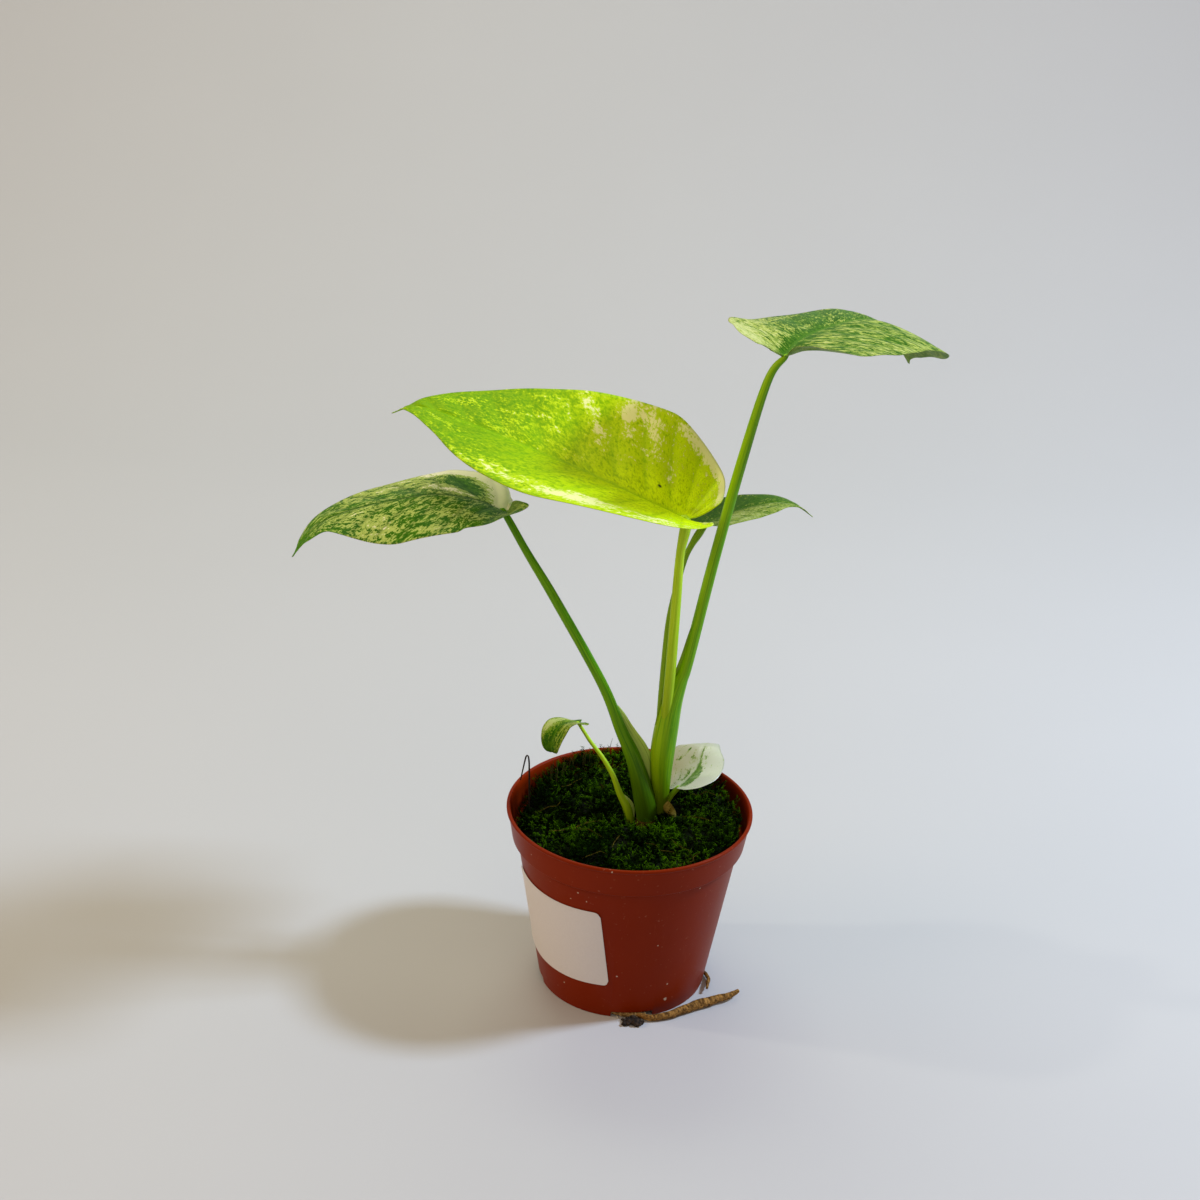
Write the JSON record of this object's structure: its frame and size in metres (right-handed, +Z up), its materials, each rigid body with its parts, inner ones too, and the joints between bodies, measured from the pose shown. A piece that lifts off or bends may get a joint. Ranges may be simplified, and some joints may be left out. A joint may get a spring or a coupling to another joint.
{
  "type": "potted mint monstera",
  "caption": "Young variegated monstera: heart-shaped marbled leaves on long sheathed petioles, rooted in moss and soil in a tapered nursery pot with a blank label.",
  "frame": {"origin": "centre of the pot's underside, on the surface that it stands on", "axes": "+Z up, -Y towards the front where the root leaves a drainage slot, the label's centre is 46.5 degrees from it towards -X"},
  "size_m": [0.2987, 0.1471, 0.3359],
  "materials": {
    "pot": "semi-gloss terracotta-coloured moulded plastic",
    "label": "blank white paper with a dull coat",
    "soil": "damp dark peat mix",
    "moss": "fluffy deep green moss",
    "stem": "dry tan rhizome skin",
    "petiole": "smooth green stalk with yellow streaks",
    "petiole_lime": "smooth yellow-green stalk",
    "blade_green": "satin green leaf streaked with cream",
    "blade_lime": "satin lime leaf flecked with cream",
    "blade_white": "glossy cream leaf with a green stripe",
    "root": "rough tan root bark"
  },
  "bodies": {
    "root": {"pot": "pot", "label": "label", "soil": "soil", "moss": "moss", "fibre": "root", "stem": "stem", "bud": "stem", "petiole_left": "petiole", "petiole_top": "petiole", "petiole_lime": "petiole_lime", "petiole_back": "petiole", "petiole_small_left": "petiole", "petiole_small_white": "petiole", "blade_left": "blade_green", "blade_top": "blade_green", "blade_lime": "blade_lime", "blade_back": "blade_green", "blade_small_left": "blade_green", "blade_small_white": "blade_white", "root": "root", "root_stub": "root", "soil_crumbs": "soil"}
  },
  "joints": []
}
